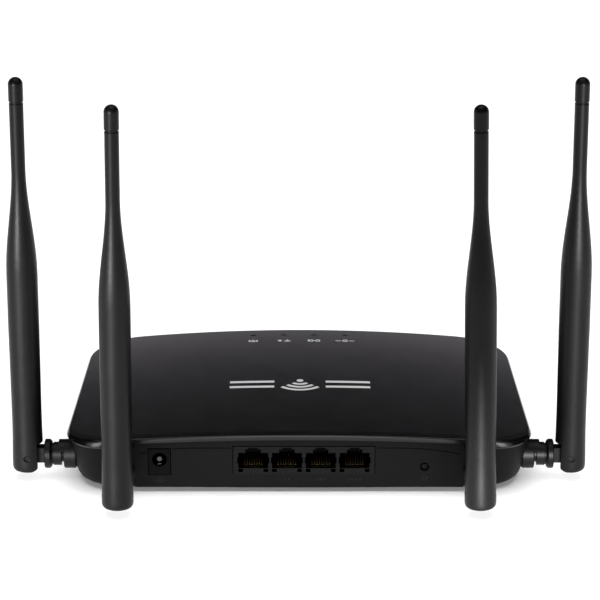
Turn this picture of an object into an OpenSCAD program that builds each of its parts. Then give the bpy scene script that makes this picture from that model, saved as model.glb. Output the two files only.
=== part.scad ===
// Wireless router with four folding antennas.
// Millimetres, +Z up. The status lights are at the front (-Y), the sockets at the rear (+Y).
// The origin is under the middle of the whole router, on the table.

/* [Case] */
// Width of the case at its rear corners
case_w = 194.6; // [186:0.2:205]
// Width of the case at its front corners
case_front_w = 183.6; // [178:0.2:200]
// Depth of the case
case_d = 122.9; // [115:0.1:130]
// How far the rear edge bows out in the middle
rear_bow = 2.1; // [0:0.1:4]
// How far the front edge bows out in the middle
front_bow = 3.5; // [0:0.1:6]
// Radius of the rear corners seen from above
rear_corner_r = 16; // [12:0.5:18]
// Radius of the front corners seen from above
front_corner_r = 23; // [16:0.5:26]
// Height of the lower tray, up to the part line
tray_h = 19.2; // [18.5:0.1:20]
// Height of the middle of the top plate over the tray's underside
case_h = 26.4; // [25.5:0.1:28]
// Radius of the top plate's sideways crown
crown_r = 1076; // [900:10:2000]
// Wall thickness of the mouldings
wall = 2; // [1.6:0.1:2.2]

/* [Rear panel] */
// Half width of the recess that holds the rear panel
recess_half = 68.4; // [66:0.1:69]
// Depth of the recess
recess_d = 6; // [4:0.1:7]
// Height of the recess at its middle
recess_h = 24.3; // [23.5:0.1:25]
// Radius of the arch over the recess
arch_r = 1160; // [900:10:2000]
// Middle of the network sockets, sideways
lan_x = -2; // [-4:0.1:2]
// Distance between network sockets
lan_pitch = 13.97; // [13.9:0.01:14.2]
// Middle of the power inlet, sideways
power_x = 57.7; // [54:0.1:60]
// Middle of the reset button, sideways
button_x = -51.9; // [-56:0.1:-46]
// Travel of the reset button
button_travel = 0.5; // [0.3:0.05:0.6]

/* [Antennas] */
// Height of the antenna sockets over the tray's underside
socket_z = 9.3; // [9:0.1:10]
// Sideways place of the rear antennas
rear_socket_x = 73.75; // [73:0.05:76]
// How far the side antennas sit in front of the rear edge
side_socket_back = 22; // [20:0.5:28]
// Distance from a socket's seat to its hinge pin
reach = 20; // [20:0.1:24]
// Length of an antenna
antenna_l = 170; // [150:1:200]
// Radius of an antenna's grip
grip_r = 6.4; // [6.2:0.05:6.5]
// Radius of an antenna's thin rod
rod_r = 2.9; // [2.6:0.02:3.2]
// How far the rear left antenna leans inward at rest, degrees
left_lean = 1.1; // [0:0.1:3]
// How far the rear right antenna leans inward at rest, degrees
right_lean = 0.35; // [0:0.05:3]

/* [Hidden] */

$fn = 64;
e = 0.01;
big = 400;

// the case
base_z = 1.5;
rear_seat_in = 3.6;
grip_max = 6.5;
total_d = case_d - rear_seat_in + reach + grip_max;
rear_y = total_d / 2 - grip_max - reach + rear_seat_in;
front_y = rear_y - case_d;
part_z = base_z + tray_h;
top_z = base_z + case_h;
panel_y = rear_y - recess_d;
plate_t = 1.3;
shoulder_z = part_z + 1.4;
ledge = 14;

// the board and what stands on it
board_t = 1.6;
board_z = base_z + 5.2;
board_top = board_z + board_t;
board_half = 65;
board_rear = panel_y - wall - 0.4;
board_front = front_y + 24;
board_bosses = [for (x = [-60, 60], y = [board_rear - 50, board_front + 5]) [x, y]];
led_pitch = 13.6;
led_y = front_y + 7.6;
lan_w = 58.5;
lan_h = 12.4;
lan_d = 16;
power_w = 9;
power_h = 11.2;
button_z = base_z + 10.1;
button_r = 1.2;

// fasteners and feet
screw_x = 78;
screw_y = [rear_y - 58, front_y + 26];
foot_x = 70;
foot_y = [rear_y - 20, front_y + 21];
keyhole_x = 55;
keyhole_y = front_y + 52;

// the antennas, in the order rear left, rear right, side left, side right
seat_y = rear_y - rear_seat_in;
side_y = rear_y - side_socket_back;
seat_x = 93.4;
seat = [
    [-rear_socket_x, seat_y, base_z + socket_z],
    [rear_socket_x, seat_y, base_z + socket_z],
    [-seat_x, side_y, base_z + socket_z],
    [seat_x, side_y, base_z + socket_z]
];
turn = [90, 90, 180, 0];
lean = [left_lean, -right_lean, 0, 0];
bush_r = 4;
bush_l = 10.5;
stem_r = 3.45;
block_d = 8;
pin_r = 1.05;
below_pin = 6.55;

// places along a knuckle, out from the socket's seat
collar_l = 4.8;
barrel_x = collar_l + 1.1;
flange_x = reach - 9.6;
face_x = reach - 7.1;

// ---- shared shapes ----

// Where two lines meet, each given by its outward direction n and its distance c from the origin.
function meet(n, c, m, d) = [c * m[1] - d * n[1], n[0] * d - m[0] * c] / (n[0] * m[1] - n[1] * m[0]);

// The bowed rear edge (s 1) or front edge (s -1): half width w, middle at y, bow b, read at x.
function bowed(x, w, y, b, s) = [x, y - s * b * pow(x / w, 2)];
function bowed_dir(x, w, b, s) = let (v = [2 * b * x / (w * w), s]) v / norm(v);

function arc(centre, r, from, to, n) = [
    for (i = [0 : n]) centre + r * [cos(from + (to - from) * i / n), sin(from + (to - from) * i / n)]
];

// The right half of the case seen from above, drawn in at its sides, rear and front,
// from the middle of the front to the middle of the rear.
function half_outline(side, rear, front) =
    let (
        wr = case_w / 2 - side,
        wf = case_front_w / 2 - side,
        yr = rear_y - rear,
        yf = front_y + front,
        a = bowed(wr, wr, yr, rear_bow, 1),
        b = bowed(wf, wf, yf, front_bow, -1),
        out = [a[1] - b[1], b[0] - a[0]] / norm(a - b),
        rear_x = wr - rear_corner_r,
        front_x = wf - front_corner_r,
        rear_dir = bowed_dir(rear_x, wr, rear_bow, 1),
        front_dir = bowed_dir(front_x, wf, front_bow, -1),
        rear_line = rear_dir * bowed(rear_x, wr, yr, rear_bow, 1) - rear_corner_r,
        front_line = front_dir * bowed(front_x, wf, yf, front_bow, -1) - front_corner_r,
        rear_c = meet(out, out * a - rear_corner_r, rear_dir, rear_line),
        front_c = meet(out, out * a - front_corner_r, front_dir, front_line),
        side_angle = atan2(out[1], out[0]),
        rear_end = rear_c[0] + rear_corner_r * rear_dir[0],
        front_end = front_c[0] + front_corner_r * front_dir[0]
    )
    concat(
        [for (i = [0 : 7]) bowed(front_end * i / 8, wf, yf, front_bow, -1)],
        arc(front_c, front_corner_r, atan2(front_dir[1], front_dir[0]), side_angle, 11),
        arc(rear_c, rear_corner_r, side_angle, atan2(rear_dir[1], rear_dir[0]), 10),
        [for (i = [7 : -1 : 0]) bowed(rear_end * i / 8, wr, yr, rear_bow, 1)]
    );

function outline_points(side, rear, front) =
    let (half = half_outline(side, rear, front), n = len(half))
    concat(half, [for (i = [n - 2 : -1 : 1]) [-half[i][0], half[i][1]]]);

module prism(z0, z1, side, rear, front) {
    translate([0, 0, z0])
        linear_extrude(z1 - z0)
            polygon(outline_points(side, rear, front));
}

function crown_z(x) = top_z - crown_r + sqrt(crown_r * crown_r - x * x);

// A solid through level rings [z, side, rear, front], then rings [share, side, rear, front]
// that stand at a share of the way up from z0 to the crown, then straight up.
module stacked(rings, shares, z0) {
    levels = concat(
        [for (k = rings) [for (p = outline_points(k[1], k[2], k[3])) [p[0], p[1], k[0]]]],
        [for (k = shares) [for (p = outline_points(k[1], k[2], k[3])) [p[0], p[1], z0 + k[0] * (crown_z(p[0]) - z0)]]]
    );
    last = levels[len(levels) - 1];
    all = len(shares) > 0 ? concat(levels, [[for (p = last) [p[0], p[1], top_z + 10]]]) : levels;
    n = len(last);
    m = len(all);
    polyhedron(
        points = [for (level = all, p = level) p],
        faces = concat(
            [[for (i = [0 : n - 1]) i]],
            [[for (i = [n - 1 : -1 : 0]) (m - 1) * n + i]],
            [for (k = [0 : m - 2], i = [0 : n - 1]) [k * n + i, (k + 1) * n + i, k * n + (i + 1) % n]],
            [for (k = [0 : m - 2], i = [0 : n - 1]) [k * n + (i + 1) % n, (k + 1) * n + i, (k + 1) * n + (i + 1) % n]]
        )
    );
}

// Everything under the crowned top surface, lowered by d.
module under_crown(d = 0) {
    translate([0, big, top_z - d - crown_r])
        rotate([90, 0, 0])
            cylinder(h = 2 * big, r = crown_r, $fn = 360);
}

// The space of the rear recess, grown by g.
module recess(g, from_y) {
    intersection() {
        translate([-recess_half - g, from_y, -1])
            cube([2 * (recess_half + g), 60, 60]);
        translate([0, big, base_z + recess_h + g - arch_r])
            rotate([90, 0, 0])
                cylinder(h = 2 * big, r = arch_r, $fn = 360);
    }
}

module box_at(x, y, z, w, d, h) {
    translate([x - w / 2, y - d / 2, z])
        cube([w, d, h]);
}

module rod_at(x, y, z, r, h) {
    translate([x, y, z])
        cylinder(h = h, r = r);
}

// A level run of cable from point [x, y], l long, heading at the given angle.
module cable_run(x, y, angle, l) {
    translate([x, y, cable_z])
        rotate([0, 90, angle])
            cylinder(h = l, r = cable_r);
}

// A quarter bend of cable round the centre [x, y], from the given angle.
module cable_bend(x, y, angle) {
    translate([x, y, cable_z])
        rotate([0, 0, angle])
            rotate_extrude(angle = 90)
                translate([cable_bend_r, 0])
                    circle(r = cable_r, $fn = 32);
}

// Places a part on antenna socket i: local +X points out of the case.
module on_socket(i) {
    translate(seat[i])
        rotate([0, 0, turn[i]])
            children();
}

// As on_socket, with the antenna's lean at rest.
module on_swivel(i) {
    on_socket(i)
        rotate([lean[i], 0, 0])
            children();
}

module along_x(x) {
    translate([x, 0, 0])
        rotate([0, 90, 0])
            children();
}

module along_y() {
    rotate([90, 0, 0])
        children();
}

// ---- the case ----

module tray_solid() {
    stacked([
        [base_z, 8.4, 8.4, 8.4], [base_z + 0.2, 7.4, 7.4, 7.4], [base_z + 0.6, 6.4, 6.4, 6.4],
        [base_z + 1.2, 5.5, 5.5, 5.5], [base_z + 2.1, 4.7, 4.7, 4.7], [base_z + 3.3, 4.1, 4.1, 4.1],
        [base_z + 5, 3.6, 3.6, 3.6], [base_z + 8.5, 2.9, 2.9, 2.9], [base_z + 13, 2.15, 2.15, 2.15],
        [part_z, 1.4, 1.4, 1.4]
    ], [], 0);
}

// The tray's cavity, with the solid blocks and bosses left standing in it.
module tray_cavity() {
    difference() {
        union() {
            prism(base_z + wall, base_z + 5, 8.6, 8.6, 8.6);
            prism(base_z + 4.9, part_z + 10, 5.6, 5.6, 5.6);
        }
        box_at(0, panel_y - wall + 20, -1, 2 * (recess_half + wall), 40, 40);
        for (s = [-1, 1]) {
            box_at(s * 78, seat_y - block_d + 20, -1, 24, 40, base_z + 17.3);
            box_at(s * (seat_x - block_d + 10), side_y, -1, 20, 19, base_z + 17.3);
        }
        for (s = [-1, 1], y = screw_y)
            rod_at(s * screw_x, y, 0, 3.4, base_z + 10);
        for (b = board_bosses)
            rod_at(b[0], b[1], 0, 3, board_z);
    }
}

// The tray's rear wall under the arch, behind the frame's brow.
module panel_wall() {
    intersection() {
        box_at(0, panel_y - wall / 2, base_z + 1, 2 * recess_half + 2 * wall, wall, 40);
        recess(-0.3, 0);
    }
}

module antenna_seats() {
    for (i = [0 : 3])
        on_socket(i)
            along_x(-block_d)
                cylinder(h = block_d, r = 5.6);
}

module keyhole(x) {
    rod_at(x, keyhole_y, base_z - 1, 3.6, wall + 2);
    rod_at(x, keyhole_y + 7, base_z - 1, 1.8, wall + 2);
    box_at(x, keyhole_y + 3.5, base_z - 1, 3.6, 7, wall + 2);
}

// The screw hole and its counterbore, from below.
module case_screw_hole(x, y) {
    rod_at(x, y, -1, 2.9, base_z + 4);
    rod_at(x, y, 0, 1.45, 20);
}

module vents() {
    for (row = [0 : 2], i = [-7 : 7])
        box_at(i * 6, front_y + 72 + row * 14, base_z - 1, 2.2, 10, wall + 2);
}

module base_tray() {
    color("#1b1b1d")
    difference() {
        union() {
            difference() {
                tray_solid();
                tray_cavity();
                translate([-recess_half, panel_y, -1])
                    cube([2 * recess_half, 60, 60]);
                for (s = [-1, 1])
                    translate([s * rear_socket_x, seat_y + 30, base_z + 3])
                        along_y()
                            cylinder(h = 30, r = 13.5);
                for (i = [2, 3])
                    on_socket(i)
                        along_x(0)
                            cylinder(h = 10, r = 6.6);
            }
            panel_wall();
            antenna_seats();
        }
        for (i = [0 : 3])
            on_socket(i)
                along_x(-block_d - 4)
                    cylinder(h = block_d + 10, r = bush_r + 0.05);
        box_at(lan_x, panel_y, board_top, lan_w + 0.5, 12, lan_h + 0.35);
        box_at(power_x, panel_y, board_top - 0.3, power_w + 0.6, 12, power_h + 0.75);
        translate([button_x, panel_y + 3, button_z])
            along_y()
                cylinder(h = 12, r = 1.95);
        for (s = [-1, 1], y = screw_y)
            case_screw_hole(s * screw_x, y);
        for (b = board_bosses)
            rod_at(b[0], b[1], base_z + 1.5, 1.1, 10);
        for (s = [-1, 1])
            keyhole(s * keyhole_x);
        vents();
    }
}

// The frame's outside: a steep face up to a rounded edge, and a rim that follows the crown.
module frame_solid() {
    intersection() {
        stacked([
            [part_z, 1.2, 1.2, 1.2], [part_z + 0.4, 0.6, 0.6, 0.6], [part_z + 0.8, 0.22, 0.22, 0.22]
        ], [
            [0, 0, 0, 0], [0.3, 0.12, 0.16, 0.12], [0.55, 0.3, 0.42, 0.3], [0.72, 0.48, 0.68, 0.48],
            [0.83, 0.64, 0.92, 0.64], [0.9, 0.76, 1.14, 0.76], [0.955, 0.9, 1.42, 0.9], [1, 1.1, 1.95, 1.1]
        ], shoulder_z);
        under_crown(0.05);
    }
}

module cover_frame() {
    color("#0c0c0d")
    difference() {
        union() {
            difference() {
                frame_solid();
                difference() {
                    prism(part_z - 1, top_z + 5, 1.1, 5, 1.1);
                    under_crown(plate_t + 0.05);
                }
                intersection() {
                    prism(part_z - 1, top_z + 5, 3.4, 9.4, 3.4);
                    under_crown(2 * plate_t);
                }
                prism(part_z - 1, top_z + 5, ledge, ledge + 4, ledge);
            }
            for (s = [-1, 1], y = screw_y)
                intersection() {
                    rod_at(s * screw_x, y, base_z + 10, 3.2, 20);
                    under_crown(plate_t + 0.2);
                }
        }
        recess(0, panel_y - wall - 2);
        for (s = [-1, 1], y = screw_y)
            rod_at(s * screw_x, y, base_z + 9, 1.1, 8.2);
        for (i = [-1.5 : 1.5])
            box_at(i * led_pitch, led_y, part_z - 5, 3, 2, 30);
    }
}

module top_plate() {
    color("#232226")
    difference() {
        intersection() {
            prism(part_z, top_z + 5, 1.25, 5.15, 1.25);
            under_crown();
        }
        under_crown(plate_t);
        for (i = [-1.5 : 1.5])
            box_at(i * led_pitch, led_y, part_z - 5, 2.3, 1.1, 30);
    }
}

module rubber_feet() {
    color("#2b2b2c")
    for (s = [-1, 1], y = foot_y) {
        rod_at(s * foot_x, y, 0.4, 5.5, base_z - 0.4);
        rod_at(s * foot_x, y, 0, 5.1, 0.4);
    }
}

module case_screws() {
    color("#8c8f94")
    for (s = [-1, 1], y = screw_y)
        difference() {
            union() {
                rod_at(s * screw_x, y, base_z + 1.6, 2.4, 1.4);
                rod_at(s * screw_x, y, base_z + 2.9, 1.1, 12);
            }
            box_at(s * screw_x, y, base_z + 1.2, 2.8, 0.6, 1);
            box_at(s * screw_x, y, base_z + 1.2, 0.6, 2.8, 1);
        }
}

module blank_label() {
    color("#c9c9c6")
    box_at(0, front_y + 24, base_z - 0.2, 62, 26, 0.2);
}

// ---- the board ----

module main_board() {
    color("#1e5a3c")
    difference() {
        translate([-board_half, board_front, board_z])
            cube([2 * board_half, board_rear - board_front, board_t]);
        for (b = board_bosses)
            rod_at(b[0], b[1], board_z - 1, 1.5, 4);
    }
}

module board_screws() {
    color("#8c8f94")
    for (b = board_bosses) {
        rod_at(b[0], b[1], board_top, 2.5, 1.5);
        rod_at(b[0], b[1], board_top - 4.5, 1.1, 4.6);
    }
}

module processor() {
    color("#2a2a2c")
    box_at(-8, -16, board_top, 17, 17, 1.4);
}

module memory_chips() {
    color("#2a2a2c") {
        box_at(-33, -16, board_top, 10, 14, 1.2);
        box_at(-33, 2, board_top, 8, 6, 1.8);
    }
}

module heat_sink() {
    color("#9a9da1")
    difference() {
        box_at(-8, -16, board_top + 1.4, 22, 22, 6.2);
        for (i = [-3 : 3])
            box_at(-8 + i * 3, -16, board_top + 3, 1.7, 24, 10);
    }
}

module shield(x, y, w, d) {
    difference() {
        box_at(x, y, board_top, w, d, 2.6);
        box_at(x, y, board_top - 1, w - 0.6, d - 0.6, 3.3);
    }
}

module radio_shields() {
    color("#b9bcc0") {
        shield(27, -6, 26, 22);
        shield(27, -32, 26, 20);
    }
}

module network_transformers() {
    color("#1d1d1f")
    for (i = [-1, 1])
        box_at(lan_x + i * 14, board_rear - 24, board_top, 15, 8, 6);
}

module power_capacitors() {
    color("#3b4a63")
    for (x = [56, 47])
        rod_at(x, board_rear - 28, board_top, 3.2, 9);
}

module power_coils() {
    color("#444446")
    for (x = [58, 50])
        box_at(x, board_rear - 42, board_top, 6, 6, 3.4);
}

module crystals() {
    color("#c4c6c9")
    for (p = [[10, -33], [-22, -30]])
        box_at(p[0], p[1], board_top, 4.6, 3.2, 1.3);
}

module status_leds() {
    color("#d8ead0")
    for (i = [-1.5 : 1.5])
        box_at(i * led_pitch, board_front + 2, board_top, 1.6, 1.2, 0.9);
}

module light_guides() {
    color("#d9dcde")
    for (i = [-1.5 : 1.5]) {
        guide_z = board_top + 1.2;
        box_at(i * led_pitch, (led_y + board_front + 2.6) / 2, guide_z, 2, board_front + 3.6 - led_y, 2);
        intersection() {
            box_at(i * led_pitch, led_y, guide_z, 2, 0.9, 40);
            under_crown(0.15);
        }
    }
}

// ---- network sockets ----

// A network socket's opening, with its latch steps and its two foot notches, z from the floor.
module lan_opening() {
    polygon([
        [-6.1, 2.8], [6.1, 2.8], [6.1, 5], [6.55, 5], [6.55, 7.6], [6.1, 7.6], [6.1, 9.5],
        [3.2, 9.5], [3.2, 11.1], [2, 11.1], [2, 11.9], [-2, 11.9], [-2, 11.1], [-3.2, 11.1],
        [-3.2, 9.5], [-6.1, 9.5], [-6.1, 7.6], [-6.55, 7.6], [-6.55, 5], [-6.1, 5]
    ]);
    for (s = [-1, 1])
        translate([s * 5.2 - 0.9, 1.05])
            square([1.8, 1.3]);
}

module network_sockets() {
    color("#303033")
    difference() {
        box_at(lan_x, panel_y - lan_d / 2, board_top, lan_w, lan_d, lan_h);
        for (i = [-1.5 : 1.5])
            translate([lan_x + i * lan_pitch, panel_y + 1, board_top])
                rotate([90, 0, 0])
                    linear_extrude(13.5)
                        lan_opening();
    }
}

module network_contacts() {
    color("#d9b65c")
    for (i = [-1.5 : 1.5], j = [-3.5 : 3.5])
        translate([lan_x + i * lan_pitch + j * 1.02, panel_y - 2.6, board_top + 3])
            rotate([-6, 0, 0])
                translate([-0.22, -9, 0])
                    cube([0.44, 9, 0.5]);
}

// ---- power inlet and reset button ----

power_hole_z = base_z + 13.35;

module power_inlet() {
    color("#28282a")
    difference() {
        box_at(power_x, panel_y - 7, board_top, power_w, 14, power_h);
        translate([power_x, panel_y + 1, power_hole_z])
            along_y()
                cylinder(h = 10.5, r = 3.1);
        translate([power_x, panel_y, power_hole_z])
            along_y()
                cylinder(h = 11, r = 1);
    }
}

module power_pin() {
    color("#cfd1d4")
    translate([power_x, panel_y - 0.8, power_hole_z])
        along_y()
            cylinder(h = 10.2, r = 1);
}

module power_spring() {
    color("#cfd1d4")
    box_at(power_x, panel_y - 5.4, power_hole_z - 2.9, 1.6, 7.6, 0.5);
}

module switch_body() {
    color("#2a2a2c")
    difference() {
        box_at(button_x, panel_y - wall - 1.2 - 2.6, board_top, 6.4, 5.2, 6.6);
        translate([button_x, panel_y - wall - 2.2, button_z])
            along_y()
                cylinder(h = 3.2, r = 2.2);
        translate([button_x, panel_y, button_z])
            along_y()
                cylinder(h = 6, r = button_r + 0.05);
    }
}

module switch_dome() {
    color("#cfd1d4")
    translate([button_x, panel_y - wall - 5.05, button_z])
        along_y()
            cylinder(h = 0.35, r = 2);
}

module reset_button() {
    color("#232325")
    translate([button_x, panel_y - 0.5, button_z])
        along_y() {
            cylinder(h = wall + 2.8, r = button_r);
            translate([0, 0, wall + 2.05])
                cylinder(h = 0.75, r = 1.8);
        }
}

// ---- antenna cables ----

cable_r = 0.55;
cable_z = base_z + socket_z;
cable_bend_r = 3;
plug_x = 62;
plug_r = 1.2;
rear_plug_y = rear_y - 33;
side_plug_y = rear_y - 43;
side_run_x = 79;
stem_end = 9;

// The cables of the right-hand antennas, from their knuckles' stems to the board.
module cable_pair() {
    bend_x = rear_socket_x - cable_bend_r;
    cable_run(rear_socket_x, seat_y - stem_end, -90, seat_y - stem_end - rear_plug_y - cable_bend_r);
    cable_bend(bend_x, rear_plug_y + cable_bend_r, -90);
    cable_run(bend_x, rear_plug_y, 180, bend_x - plug_x - plug_r);
    turn_x = side_run_x + cable_bend_r;
    cable_run(seat_x - stem_end, side_y, 180, seat_x - stem_end - turn_x);
    cable_bend(turn_x, side_y - cable_bend_r, 90);
    cable_run(side_run_x, side_y - cable_bend_r, -90, side_y - side_plug_y - 2 * cable_bend_r);
    cable_bend(side_run_x - cable_bend_r, side_plug_y + cable_bend_r, -90);
    cable_run(side_run_x - cable_bend_r, side_plug_y, 180, side_run_x - cable_bend_r - plug_x - plug_r);
}

module antenna_cables() {
    color("#3a3a3d")
    for (s = [0, 1])
        mirror([s, 0, 0])
            cable_pair();
}

module board_connectors() {
    color("#c9a85a")
    for (s = [-1, 1], y = [rear_plug_y, side_plug_y]) {
        box_at(s * plug_x, y, board_top, 2.8, 2.8, 0.6);
        rod_at(s * plug_x, y, board_top + 0.5, plug_r, 2.9);
    }
}

module antenna_nuts() {
    color("#b08d4a")
    for (i = [0 : 3])
        on_socket(i)
            along_x(-bush_l)
                difference() {
                    cylinder(h = bush_l - block_d - 0.05, r = 6.2, $fn = 6);
                    translate([0, 0, -1])
                        cylinder(h = 5, r = bush_r);
                }
}

// ---- one antenna, with its socket ----

// The fixed collar on the case, with its threaded bush through the wall.
module antenna_socket() {
    color("#2c2c2e")
    rotate([0, 90, 0]) {
        rotate_extrude()
            polygon([
                [3.5, -bush_l], [bush_r, -bush_l], [bush_r, 0], [6.1, 0],
                [6.1, collar_l - 0.4], [5.7, collar_l], [3.5, collar_l]
            ]);
        rotate([0, 0, 120])
            rotate_extrude(angle = 120)
                translate([5.25, collar_l - 0.5])
                    square([0.8, 2.7]);
    }
}

// The swivelling knuckle: stem, barrel, flange and the tongue that takes the hinge pin.
module knuckle() {
    color("#2c2c2e")
    difference() {
        union() {
            rotate([0, 90, 0])
                rotate_extrude()
                    polygon([
                        [0, face_x], [0, face_x - 1], [1.3, face_x - 1], [1.3, -12.4], [stem_r, -12.4],
                        [stem_r, -11.6], [2.9, -11.6], [2.9, -10.9], [stem_r, -10.9],
                        [stem_r, barrel_x], [4.9, barrel_x], [4.9, flange_x - 1.3], [4.5, flange_x - 1.1],
                        [4.5, flange_x - 0.6], [5.3, flange_x - 0.5], [6.15, flange_x + 0.3],
                        [6.15, face_x - 0.4], [5.75, face_x]
                    ]);
            translate([face_x - 0.6, -2.4, -3.25])
                cube([reach - face_x + 0.6, 4.8, 6.5]);
            translate([reach, 2.4, 0])
                along_y()
                    cylinder(h = 4.8, r = 3.25);
        }
        translate([reach, 10, 0])
            along_y()
                cylinder(h = 20, r = pin_r + 0.06);
    }
}

module clip() {
    color("#9a9da1")
    along_x(-11.6)
        difference() {
            cylinder(h = 0.7, r = 4.6);
            translate([0, 0, -1])
                cylinder(h = 3, r = 2.9);
            translate([0, -1.6, -1])
                cube([9, 3.2, 3]);
        }
}

// Radius of the sleeve, t below the antenna's tip.
rod_end = 39;
grip_start = 83;
function ease(u) = u * u * (3 - 2 * u);
function sleeve_r(t) = rod_r + (grip_r - rod_r) * ease(min(1, max(0, (t - rod_end) / (grip_start - rod_end))));
above_pin = antenna_l - below_pin;
cap_l = 10.7;
core_r = 1.5;
core_low_r = 3.1;

module sleeve() {
    color("#2e2e30")
    translate([reach, 0, 0])
        difference() {
            rotate_extrude()
                polygon(concat(
                    [[0, -below_pin], [5.3, -below_pin], [5.95, 0.25 - below_pin], [6.3, 0.75 - below_pin]],
                    [[6.48, 1.6 - below_pin], [6.5, -2.5], [6.43, 2], [6.25, 10], [6.2, 18], [6.26, 30]],
                    [[grip_r, 55]],
                    [for (i = [12 : -1 : 0])
                        let (t = rod_end + (grip_start - rod_end) * i / 12) [sleeve_r(t), above_pin - t]],
                    [[rod_r, above_pin - cap_l - 0.2], [rod_r - 0.2, above_pin - cap_l], [0, above_pin - cap_l]]
                ));
            translate([0, 0, 14])
                cylinder(h = above_pin, r = core_r);
            translate([0, 0, 14])
                cylinder(h = 64, r = core_low_r);
            translate([-8, -2.7, -8])
                cube([11.9, 5.4, 11.9]);
            translate([-14.15, -10, -8])
                cube([10, 20, 13.8]);
            difference() {
                translate([-10, -10, -10])
                    cube([10, 20, 10]);
                translate([0, 11, 0])
                    along_y()
                        cylinder(h = 22, r = below_pin);
            }
            translate([0, 10, 0])
                along_y()
                    cylinder(h = 20, r = pin_r);
            for (y = [10, -5.45])
                translate([0, y, 0])
                    along_y()
                        cylinder(h = 4.55, r = 1.45);
        }
}

module tip() {
    color("#2e2e30")
    translate([reach, 0, above_pin])
        rotate_extrude()
            polygon(concat(
                [[0, -16], [core_r, -16], [core_r, -cap_l], [rod_r - 0.35, -cap_l], [rod_r - 0.35, -10.2]],
                [[rod_r + 0.1, -9.9]],
                [for (a = [0 : 7.5 : 90]) [(rod_r + 0.1) * cos(a), -rod_r - 0.1 + (rod_r + 0.1) * sin(a)]]
            ));
}

module pin() {
    color("#c9ccd0")
    translate([reach, 5.75, 0])
        along_y()
            cylinder(h = 11.5, r = pin_r);
}

module radiator() {
    color("#b5803c")
    translate([reach, 0, 0]) {
        rod_at(0, 0, 16, 0.55, 125);
        rod_at(0, 0, 20, 2.3, 36);
        for (i = [0 : 5])
            rod_at(0, 0, 84 + i * 3, 1.2, 1.6);
    }
}

base_tray();
cover_frame();
top_plate();
rubber_feet();
case_screws();
blank_label();
light_guides();
status_leds();
main_board();
board_screws();
processor();
memory_chips();
heat_sink();
radio_shields();
network_transformers();
power_capacitors();
power_coils();
crystals();
network_sockets();
network_contacts();
power_inlet();
power_pin();
power_spring();
switch_body();
switch_dome();
reset_button();
board_connectors();
antenna_cables();
antenna_nuts();

PLACES = ["rear_left", "rear_right", "side_left", "side_right"];
for (i = [0 : 3]) {
    on_socket(i) antenna_socket();
    on_swivel(i) knuckle();
    on_swivel(i) clip();
    on_swivel(i) sleeve();
    on_swivel(i) tip();
    on_swivel(i) pin();
    on_swivel(i) radiator();
}
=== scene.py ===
import math
import bmesh
import bpy
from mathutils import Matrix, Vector


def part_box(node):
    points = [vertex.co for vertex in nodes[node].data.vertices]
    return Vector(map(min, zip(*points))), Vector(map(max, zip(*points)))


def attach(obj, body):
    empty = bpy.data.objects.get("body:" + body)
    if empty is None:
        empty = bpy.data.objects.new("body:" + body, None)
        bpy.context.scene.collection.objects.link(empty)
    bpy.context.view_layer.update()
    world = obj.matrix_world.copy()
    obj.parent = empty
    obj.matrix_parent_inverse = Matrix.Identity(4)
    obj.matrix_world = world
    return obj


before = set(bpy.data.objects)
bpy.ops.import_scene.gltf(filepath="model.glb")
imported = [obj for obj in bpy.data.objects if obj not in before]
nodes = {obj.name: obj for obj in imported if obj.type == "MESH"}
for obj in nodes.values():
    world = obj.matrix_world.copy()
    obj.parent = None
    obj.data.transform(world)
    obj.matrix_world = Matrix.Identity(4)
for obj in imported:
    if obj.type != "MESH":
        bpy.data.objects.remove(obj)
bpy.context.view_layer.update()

scene = bpy.context.scene
mm = 0.001

# ---- places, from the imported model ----
cover_low, cover_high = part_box("cover_frame")
rear_y = cover_high.y
front_y = cover_low.y
top_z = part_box("top_plate")[1].z
# radius of the top plate's sideways crown, as in the CAD
crown_r = 1076 * mm


def link(obj):
    """Puts an object into the scene."""
    scene.collection.objects.link(obj)
    return obj


def face(obj, direction):
    """Turns a camera or a lamp to look in the direction."""
    obj.rotation_mode = "QUATERNION"
    obj.rotation_quaternion = direction.to_track_quat("-Z", "Y")


# ---- camera: from behind and above ----
aim = Vector((-0.4 * mm, rear_y - 28.9 * mm, 76.5 * mm))
elevation = math.radians(20.4)
distance = 1.211
lens_mm = 175.8
sensor_mm = 36
camera = link(bpy.data.objects.new("camera", bpy.data.cameras.new("camera")))
camera.data.lens = lens_mm
camera.data.sensor_width = sensor_mm
camera.data.clip_start = 0.05
camera.location = aim + Vector((0, math.cos(elevation), math.sin(elevation))) * distance
face(camera, aim - camera.location)
scene.camera = camera


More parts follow.
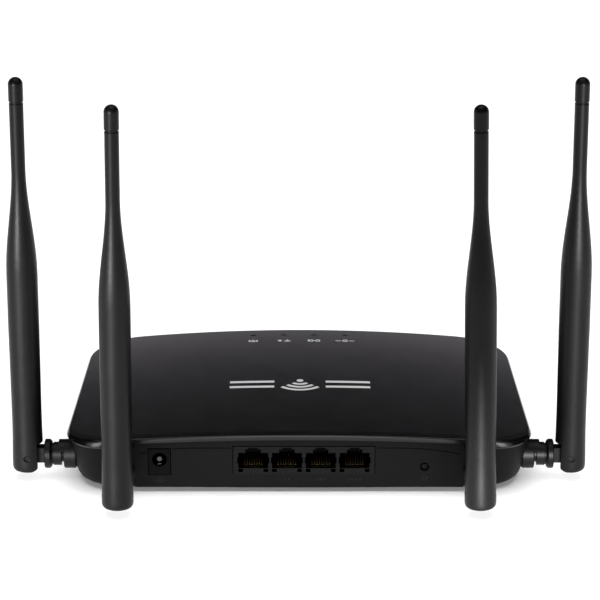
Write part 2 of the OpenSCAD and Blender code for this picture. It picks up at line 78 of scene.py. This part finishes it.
# ---- materials ----
class Nodes:
    """Short calls for building a material's nodes."""

    def __init__(self, name):
        self.material = bpy.data.materials.new(name)
        self.material.use_nodes = True
        self.tree = self.material.node_tree
        self.shader = self.tree.nodes["Principled BSDF"]
        self.coords = self.tree.nodes.new("ShaderNodeTexCoord").outputs["Object"]

    def join(self, a, b):
        self.tree.links.new(a, b)

    def noise(self, scale, detail, rough=0.5):
        n = self.tree.nodes.new("ShaderNodeTexNoise")
        n.inputs["Scale"].default_value = scale
        n.inputs["Detail"].default_value = detail
        n.inputs["Roughness"].default_value = rough
        self.join(self.coords, n.inputs["Vector"])
        return n.outputs["Fac"]

    def ramp(self, value, low, high):
        """Runs from one colour to the other over the middle of a noise's range."""
        n = self.tree.nodes.new("ShaderNodeValToRGB")
        ends = n.color_ramp.elements
        ends[0].position = 0.35
        ends[1].position = 0.65
        ends[0].color = (*low, 1)
        ends[1].color = (*high, 1)
        self.join(value, n.inputs["Fac"])
        return n.outputs["Color"]

    def spread(self, value, low, high):
        """Spreads the middle of a noise's range over low to high."""
        n = self.tree.nodes.new("ShaderNodeMapRange")
        n.inputs["From Min"].default_value = 0.3
        n.inputs["From Max"].default_value = 0.7
        n.inputs["To Min"].default_value = low
        n.inputs["To Max"].default_value = high
        self.join(value, n.inputs["Value"])
        return n.outputs["Result"]

    def bump(self, value, depth):
        """Relief of the given depth, in metres."""
        n = self.tree.nodes.new("ShaderNodeBump")
        n.inputs["Strength"].default_value = 1
        n.inputs["Distance"].default_value = depth
        self.join(value, n.inputs["Height"])
        return n.outputs["Normal"]


def surface(name, colour, rough, vary=0.15, grain=1800, depth=0.02, specular=0.5, metallic=0.0,
            broad=40):
    """A moulded or metal finish: fine grain in the relief, broad slow change in colour and roughness.

    vary is the share by which the colour changes, grain and broad are noise scales per metre, and depth is the
    grain's depth in millimetres.
    """
    n = Nodes(name)
    s = n.shader
    s.inputs["Metallic"].default_value = metallic
    s.inputs["Specular IOR Level"].default_value = specular
    slow = n.noise(broad, 3)
    low = tuple(c * (1 - vary) for c in colour)
    high = tuple(c * (1 + vary) for c in colour)
    n.join(n.ramp(slow, low, high), s.inputs["Base Color"])
    fine = n.noise(grain, 2, 0.6)
    patches = n.noise(broad * 3, 4)
    n.join(n.spread(patches, rough * 0.93, min(1, rough * 1.07)), s.inputs["Roughness"])
    n.join(n.bump(fine, depth * mm), s.inputs["Normal"])
    return n.material


def finishes(rows):
    """One material per row of name, colour, roughness and the rest of what surface() takes."""
    return {name: surface(name, colour, rough, **rest) for name, colour, rough, rest in rows}


# one finish per material slot of the record
finish = finishes((
    ("tray_plastic", (0.0024, 0.0024, 0.0025), 0.5, dict(grain=1500, depth=0.03, specular=0.1)),
    ("frame_gloss", (0.0015, 0.0015, 0.0016), 0.2, dict(vary=0.05, grain=160, depth=0.002, specular=0.3)),
    ("plate_plastic", (0.0018, 0.0015, 0.0017), 0.22, dict(vary=0.1, grain=1300, depth=0.008, specular=0.3)),
    ("antenna_plastic", (0.0026, 0.0026, 0.0029), 0.4, dict(grain=1800, depth=0.012, specular=0.2)),
    ("jack_plastic", (0.004, 0.004, 0.0042), 0.42, dict(grain=900, depth=0.01, specular=0.2)),
    ("chip_plastic", (0.016, 0.016, 0.017), 0.6, dict(grain=2500, depth=0.01)),
    ("button_plastic", (0.003, 0.003, 0.0032), 0.45, dict(grain=1500, depth=0.01, specular=0.15)),
    ("foot_rubber", (0.022, 0.022, 0.023), 0.8, dict(grain=900, depth=0.04, specular=0.3)),
    ("label_film", (0.52, 0.52, 0.5), 0.5, dict(vary=0.03, grain=700, depth=0.004)),
    ("clear_guide", (0.006, 0.006, 0.0065), 0.3, dict(vary=0.05, grain=600, depth=0.004)),
    ("board_laminate", (0.01, 0.09, 0.035), 0.4, dict(grain=900, depth=0.01)),
    ("steel", (0.5, 0.51, 0.53), 0.28, dict(vary=0.06, grain=900, depth=0.004, metallic=1)),
    ("sheet_steel", (0.6, 0.61, 0.62), 0.35, dict(vary=0.06, grain=600, depth=0.006, metallic=1)),
    ("aluminium", (0.55, 0.56, 0.58), 0.35, dict(vary=0.06, grain=700, depth=0.006, metallic=1)),
    ("brass", (0.55, 0.4, 0.17), 0.3, dict(vary=0.08, grain=700, depth=0.005, metallic=1)),
    ("gold_contact", (0.85, 0.66, 0.34), 0.42, dict(vary=0.05, grain=900, depth=0.003, metallic=1)),
    ("cable_jacket", (0.02, 0.02, 0.022), 0.5, dict(grain=1200, depth=0.01)),
    ("capacitor_sleeve", (0.03, 0.05, 0.09), 0.35, dict(grain=900, depth=0.006)),
    ("ferrite", (0.03, 0.03, 0.032), 0.7, dict(grain=1600, depth=0.03)),
))
# finishes of single nodes that are duller than their slot
dull = finishes((
    ("dull_pin", (0.11, 0.11, 0.12), 0.4, dict(vary=0.1, grain=900, depth=0.004, metallic=1)),
    ("dark_pin", (0.018, 0.018, 0.02), 0.45, dict(vary=0.1, grain=900, depth=0.004, metallic=1)),
    ("dark_jack", (0.0025, 0.0025, 0.0027), 0.5, dict(grain=900, depth=0.01, specular=0.1)),
))
own_finish = {"power_pin": dull["dull_pin"], "power_inlet": dull["dark_jack"]}
own_finish.update({name: dull["dark_pin"] for name in nodes if name.startswith("pin_")})
for name, node in nodes.items():
    for place in node.material_slots:
        place.material = own_finish.get(name) or finish[place.material.name.split(".")[0]]


# ---- rounding and shading of the CAD nodes ----
# vertices closer than this are one vertex
merge_gap = 0.002 * mm
# edges sharper than this, in degrees, are rounded
bevel_from = 34


def shading_group():
    """A node group that joins split vertices and smooths every edge under the given angle."""
    g = bpy.data.node_groups.new("smooth_by_angle", "GeometryNodeTree")
    g.interface.new_socket("Geometry", in_out="INPUT", socket_type="NodeSocketGeometry")
    g.interface.new_socket("Angle", in_out="INPUT", socket_type="NodeSocketFloat")
    g.interface.new_socket("Geometry", in_out="OUTPUT", socket_type="NodeSocketGeometry")
    begin = g.nodes.new("NodeGroupInput")
    end = g.nodes.new("NodeGroupOutput")
    merge = g.nodes.new("GeometryNodeMergeByDistance")
    merge.inputs["Distance"].default_value = merge_gap
    faces = g.nodes.new("GeometryNodeSetShadeSmooth")
    edges = g.nodes.new("GeometryNodeSetShadeSmooth")
    edges.domain = "EDGE"
    angle = g.nodes.new("GeometryNodeInputMeshEdgeAngle")
    under = g.nodes.new("FunctionNodeCompare")
    under.operation = "LESS_THAN"
    g.links.new(begin.outputs["Geometry"], merge.inputs["Geometry"])
    g.links.new(merge.outputs["Geometry"], faces.inputs["Geometry"])
    g.links.new(faces.outputs["Geometry"], edges.inputs["Geometry"])
    g.links.new(angle.outputs["Unsigned Angle"], under.inputs["A"])
    g.links.new(begin.outputs["Angle"], under.inputs["B"])
    g.links.new(under.outputs["Result"], edges.inputs["Shade Smooth"])
    g.links.new(edges.outputs["Geometry"], end.inputs["Geometry"])
    return g


smooth_group = shading_group()


def refine(obj, angle, rounding):
    """Smooth shading up to the angle, and sharp edges rounded by a small bevel, in millimetres."""
    mesh = obj.data
    if "custom_normal" in mesh.attributes:
        mesh.attributes.remove(mesh.attributes["custom_normal"])
    mod = obj.modifiers.new("smooth", "NODES")
    mod.node_group = smooth_group
    socket = next(s for s in smooth_group.interface.items_tree if s.name == "Angle")
    mod[socket.identifier] = math.radians(angle)
    if rounding:
        edge = obj.modifiers.new("round", "BEVEL")
        edge.width = rounding * mm
        edge.segments = 2
        edge.limit_method = "ANGLE"
        edge.angle_limit = math.radians(bevel_from)
    weight = obj.modifiers.new("normals", "WEIGHTED_NORMAL")
    weight.keep_sharp = True


# edge rounding in millimetres: of the round parts of the antennas by stem, then of other nodes by name
antenna_rounding = {
    "sleeve": 0.18, "tip": 0.12, "knuckle": 0.12, "socket": 0.12, "pin": 0.12, "clip": 0.12, "radiator": 0.12,
}
node_rounding = {
    "network_sockets": 0.12, "power_inlet": 0.15, "rubber_feet": 0.2, "light_guides": 0.08,
    "processor": 0.1, "memory_chips": 0.1, "network_transformers": 0.2, "power_coils": 0.25,
    "reset_button": 0.12,
}
# the steepest edges, in degrees, that are still shaded smooth
antenna_angle = 26
plain_angle = 30
for name, node in nodes.items():
    stem = name.split("_")[0]
    if stem in antenna_rounding:
        refine(node, antenna_angle, antenna_rounding[stem])
    else:
        refine(node, plain_angle, node_rounding.get(name, 0.0))


# ---- printed marks, and a painted seam shadow: thin ink ribbons on the top plate and the rear panel ----
panel_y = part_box("network_sockets")[1].y
# the middle of the ink stands this far off the surface, and the film is this thick
ink_lift = 0.012 * mm
ink_film = 0.02 * mm


def crown(x):
    """Height of the top plate at x."""
    return top_z - crown_r + math.sqrt(crown_r * crown_r - x * x)


def on_plate(cx, cy):
    """Right and up as seen from the front, in millimetres, to a point on the crowned plate."""
    return lambda u, v: Vector(((cx + u) * mm, (cy + v) * mm, crown((cx + u) * mm) + ink_lift))


def on_panel(cx, cz):
    """Right and up as seen from behind, in millimetres, to a point on the rear panel."""
    return lambda u, v: Vector(((cx - u) * mm, panel_y + ink_lift, (cz + v) * mm))


def bar(u0, v0, u1, v1, width, steps=6):
    """A straight stroke: its middle line and its width."""
    return [(u0 + (u1 - u0) * k / steps, v0 + (v1 - v0) * k / steps) for k in range(steps + 1)], width


def bow(cu, cv, r, start, end, width, steps=20):
    """A stroke along an arc, from one angle to the other in degrees."""
    turns = [math.radians(start + (end - start) * k / steps) for k in range(steps + 1)]
    return [(cu + r * math.cos(t), cv + r * math.sin(t)) for t in turns], width


def dot(cu, cv, r):
    """A filled disc, as a ring whose stroke reaches its middle."""
    return bow(cu, cv, r / 2, 0, 360, r)


def ribbon(bm, line, width, place):
    """A flat strip of the given width along the line."""
    last = None
    for k, (u, v) in enumerate(line):
        a = line[max(k - 1, 0)]
        b = line[min(k + 1, len(line) - 1)]
        length = math.hypot(b[0] - a[0], b[1] - a[1])
        nu, nv = (a[1] - b[1]) / length * width / 2, (b[0] - a[0]) / length * width / 2
        pair = bm.verts.new(place(u + nu, v + nv)), bm.verts.new(place(u - nu, v - nv))
        if last:
            bm.faces.new((last[0], last[1], pair[1], pair[0]))
        last = pair


marks = []


def ink(name, strokes, place, material):
    """One printed piece on the case, made of strokes; the painted seam shadow is made the same way."""
    mesh = bpy.data.meshes.new(name)
    bm = bmesh.new()
    for line, width in strokes:
        ribbon(bm, line, width, place)
    bm.to_mesh(mesh)
    bm.free()
    obj = link(bpy.data.objects.new(name, mesh))
    mesh.materials.append(material)
    thick = obj.modifiers.new("film", "SOLIDIFY")
    thick.thickness = ink_film
    thick.offset = 0
    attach(obj, "case")
    marks.append(obj)


def print_and_shade_ink(name, colour, rough, vary=0.05, specular=0.3):
    """Printing ink: a surface with a fine shallow grain. The painted seam shadow uses it too."""
    return surface(name, colour, rough, vary=vary, grain=1400, depth=0.006, specular=specular)


light_ink = print_and_shade_ink("light_ink", (0.7, 0.695, 0.705), 0.5)
small_ink = print_and_shade_ink("small_ink", (0.85, 0.85, 0.86), 0.5)
dark_ink = print_and_shade_ink("dark_ink", (0.016, 0.016, 0.017), 0.55, vary=0.1, specular=0.25)

# a plain radio mark in the middle of the plate, with two rules on each side
wave_v = -4.4
mark = [dot(0, wave_v, 1.5)] + [bow(0, wave_v, r, 42, 138, 1.7) for r in (4.0, 7.2, 10.4)]
for side in (-1, 1):
    mark += [bar(side * 11, v, side * 30, v, 2.2, 12) for v in (-3.3, 2.3)]
ink("plate_mark", mark, on_plate(-0.4, -6.6), light_ink)

# a small sign behind each status light
light_pitch = 13.6
sign_y = front_y / mm + 14.4


def waves(u):
    """A dot with two arcs over it."""
    return [dot(u, -0.9, 0.35), bow(u, -0.9, 1.0, 40, 140, 0.42), bow(u, -0.9, 1.9, 40, 140, 0.42)]


lights = [
    # waves between two posts
    waves(0) + [bar(1.7, -1, 1.7, 1, 0.5), bar(-1.7, -1, -1.7, 1, 0.5)],
    # waves and a plus
    waves(-1.6) + [bar(0.7, 0, 2.7, 0, 0.55), bar(1.7, -1, 1.7, 1, 0.55)],
    # two linked rings and a post
    [bow(-1.4, 0, 0.95, 30, 330, 0.45), bow(1.4, 0, 0.95, -150, 150, 0.45),
     bar(-1.0, 0, 1.0, 0, 0.4), bar(2.7, -1, 2.7, 1, 0.4)],
    # an open ring with a post in the gap, between two strokes
    [bow(0, -0.1, 1.0, 125, 415, 0.45), bar(0, 0, 0, 1.25, 0.45),
     bar(-4.2, 0, -1.8, 0, 0.5), bar(1.8, 0, 4.2, 0, 0.5)],
]
for k, strokes in enumerate(lights):
    ink(f"light_sign_{k + 1}", strokes, on_plate((1.5 - k) * light_pitch, sign_y), small_ink)


def middle(name):
    """The middle of a node across the case, in millimetres."""
    low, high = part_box(name)
    return (low.x + high.x) / 2 / mm


# faint dots under the network sockets, one to four
socket_pitch = 13.97
dot_pitch = 1.5
for k in range(4):
    dots = [dot((j - k / 2) * dot_pitch, 0, 0.45) for j in range(k + 1)]
    place = on_panel(middle("network_sockets") + (1.5 - k) * socket_pitch, 5.9)
    ink(f"socket_sign_{k + 1}", dots, place, dark_ink)
# an open ring round a dot under the power inlet
ring = [bow(0, 0, 1.1, -150, 150, 0.35), dot(0, 0, 0.4), bar(-2.6, 0, -1.1, 0, 0.3), bar(1.9, 0, 3, 0, 0.3)]
ink("inlet_sign", ring, on_panel(middle("power_inlet"), 5.6), dark_ink)
# a turning arrow under the button
arrow = [bow(0, 0, 1.0, 60, 360, 0.35), bar(1.0, -0.1, 1.6, 0.7, 0.3), bar(1.0, -0.1, 0.3, 0.5, 0.3)]
ink("button_sign", arrow, on_panel(middle("reset_button"), 6.6), dark_ink)

# the part line between tray and cover, beside the sockets and the power inlet, as a painted shadow: a
# near-black strip that stands for the shade in the gap, with no gap cut in the solids
seam_shadow_paint = print_and_shade_ink("seam_shadow_paint", (0.0006, 0.0006, 0.0006), 0.6, specular=0.05)
seam_z = 20.05
seam_width = 0.4
# the line is straight to this far from the middle, and drops faster and faster from there
seam_bend_from = 42
seam_drop = 0.0045


def seam(x0, x1, steps=16):
    """A stroke along the part line."""
    line = [x0 + (x1 - x0) * k / steps for k in range(steps + 1)]
    return [(x, seam_z - seam_drop * max(0, abs(x) - seam_bend_from) ** 2) for x in line], seam_width


# strokes of the painted seam shadow along the part line
painted_seam_shadow = [seam(-66.5, -62.9), seam(-52.6, -28.2), seam(32.2, 66.5)]
ink("painted_seam_shadow", painted_seam_shadow, on_panel(0, 0), seam_shadow_paint)


# ---- floor and lights ----
half = 6
floor_mesh = bpy.data.meshes.new("floor")
corners = [(-half, -half, 0), (half, -half, 0), (half, half, 0), (-half, half, 0)]
floor_mesh.from_pydata(corners, [], [(0, 1, 2, 3)])
floor = link(bpy.data.objects.new("floor", floor_mesh))
floor_mesh.materials.append(
    surface("floor", (0.86, 0.86, 0.86), 0.7, vary=0.01, grain=300, depth=0.01, specular=0.2, broad=3))


def receivers(name, objects):
    """A collection that a lamp is linked to, so that it lights only these objects."""
    group = bpy.data.collections.new(name)
    for obj in objects:
        group.objects.link(obj)
    return group


antenna_stems = ("sleeve", "tip", "knuckle", "pin", "socket")


def antenna_parts(ending):
    """The outside nodes of the antennas whose names end so."""
    return [n for k, n in nodes.items() if k.startswith(antenna_stems) and k.endswith(ending)]


floor_only = receivers("floor_only", [floor])
left_only = receivers("left_only", antenna_parts("_right"))
far_right_only = receivers("far_right_only", antenna_parts("side_left"))
near_right_only = receivers("near_right_only", antenna_parts("rear_left"))
case_only = receivers("case_only", [nodes[k] for k in ("base_tray", "cover_frame", "top_plate")])
shell_only = receivers("shell_only", [nodes[k] for k in ("base_tray", "cover_frame")])
marks_only = receivers("marks_only", marks)
contacts_only = receivers("contacts_only", [nodes["network_contacts"]])
case_blocks = receivers("case_blocks", [n for k, n in nodes.items() if not k.startswith(antenna_stems)])


def softbox(name, place, target, width, height, radiance, only=None, spread=180, tint=(1, 1, 1)):
    """A rectangular soft light that faces the target and isn't seen by the camera."""
    lamp = bpy.data.lights.new(name, "AREA")
    lamp.shape = "RECTANGLE"
    lamp.size = width
    lamp.size_y = height
    lamp.energy = radiance * math.pi * width * height
    lamp.spread = math.radians(spread)
    lamp.color = tint
    obj = link(bpy.data.objects.new(name, lamp))
    obj.location = place
    face(obj, Vector(target) - Vector(place))
    obj.visible_camera = False
    if only:
        obj.light_linking.receiver_collection = only


sun_width = math.radians(50)
sun_direction = Vector((0, -0.35, -1))


def floor_sun(name, strength, shadow):
    """A broad soft sun that only the floor receives, to keep it white. Only the case can shade it."""
    sun = bpy.data.lights.new(name, "SUN")
    sun.energy = strength
    sun.angle = sun_width
    sun.use_shadow = shadow
    obj = link(bpy.data.objects.new(name, sun))
    face(obj, sun_direction)
    obj.light_linking.receiver_collection = floor_only
    obj.light_linking.blocker_collection = case_blocks


# the shadow comes from the first sun, and the second keeps it from going black
floor_sun("floor_light", 3.0, True)
floor_sun("floor_fill", 1.2, False)

# overall light, and a low card before the front wall that the plate mirrors towards the camera
middle_low = (0, 0, 0)
softbox("overhead", (0, -0.05, 1.2), middle_low, 1.0, 0.8, 1.6)
softbox("rear_card", (0, front_y - 0.17, 0.05), (0, front_y, 0.05), 0.6, 0.085, 1.15, case_only,
        tint=(1, 0.95, 1.03))

# the pale ridge along each antenna
softbox("ridge_left", (0.46, 0.8, 0.08), (0.09, 0.05, 0), 0.3, 0.3, 3.3, left_only, 26)
softbox("ridge_right", (-0.27, 0.85, 0.08), (-0.11, 0.03, 0), 0.3, 0.3, 2.9, far_right_only, 32)
softbox("ridge_near", (-0.078, 0.45, 0.015), (-0.0735, 0.066, 0), 0.05, 0.05, 13.0, near_right_only, 16)

# highlights on the frame's rear corners: a small strong lamp and a large weak one for each
for side, hand in ((1, "left"), (-1, "right")):
    corner = (side * 0.09, 0, 0.03)
    softbox(f"key_{hand}", (side * 0.47, 0.8, 0.42), corner, 0.36, 0.6, 8.5, shell_only)
    softbox(f"wide_{hand}", (side * 0.56, 0.8, 0.5), corner, 0.9, 0.98, 1.6, shell_only)

# the plate, the brow and the rear panel
softbox("front_high", (0, 0.75, 1.0), middle_low, 0.3, 0.5, 5.5, case_only)
softbox("front_low", (0, 1.3, 0.55), middle_low, 0.36, 0.8, 1.3, case_only)
softbox("front_wide", (0, 1.32, 0.56), middle_low, 1.0, 0.8, 0.5, case_only)

# the printed marks with the painted seam shadow, and the contacts deep in the network sockets
softbox("mark_light", (0, 0.1, 1.0), middle_low, 0.5, 0.5, 7.5, marks_only)
softbox("contact_light", (0, 0.6, 0.74), (0, 0.04, 0.012), 0.2, 0.2, 12.0, contacts_only)

world = bpy.data.worlds.new("world")
world.use_nodes = True
background = world.node_tree.nodes["Background"]
background.inputs["Color"].default_value = (1, 1, 1, 1)
background.inputs["Strength"].default_value = 0.02
scene.world = world
scene.view_settings.view_transform = "Standard"
scene.view_settings.look = "None"
